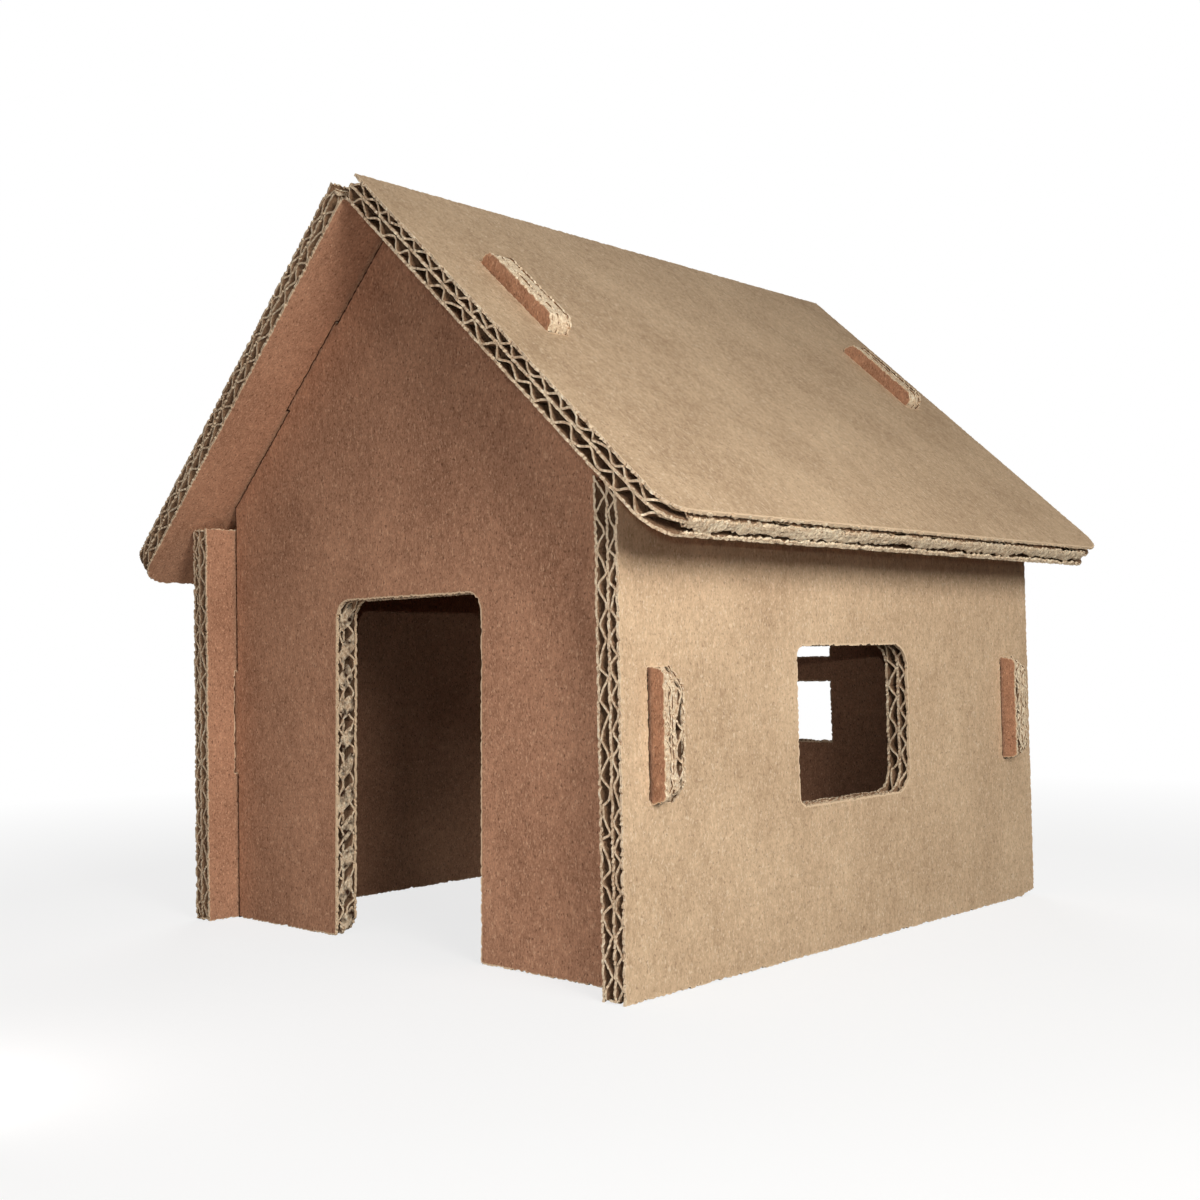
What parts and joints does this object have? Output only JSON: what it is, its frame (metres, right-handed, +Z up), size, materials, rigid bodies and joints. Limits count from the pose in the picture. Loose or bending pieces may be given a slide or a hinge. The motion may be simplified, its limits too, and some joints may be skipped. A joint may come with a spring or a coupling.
{
  "type": "cardboard toy house",
  "caption": "Toy house of flat corrugated-board sheets held by tabs in slots, with a pitched roof, an open doorway and cut-out windows.",
  "frame": {"origin": "on the ground at the middle of the house's plan", "axes": "+X to the right seen from the doorway, +Y from the doorway to the back, +Z up"},
  "size_m": [0.2158, 0.204, 0.2],
  "materials": {
    "kraft_board": "uncoated brown kraft paper, double-wall corrugated, open flutes at every cut edge"
  },
  "bodies": {
    "root": {"front_gable": "kraft_board", "rear_gable": "kraft_board", "left_wall": "kraft_board", "right_wall": "kraft_board", "left_roof": "kraft_board", "right_roof": "kraft_board"}
  },
  "joints": []
}
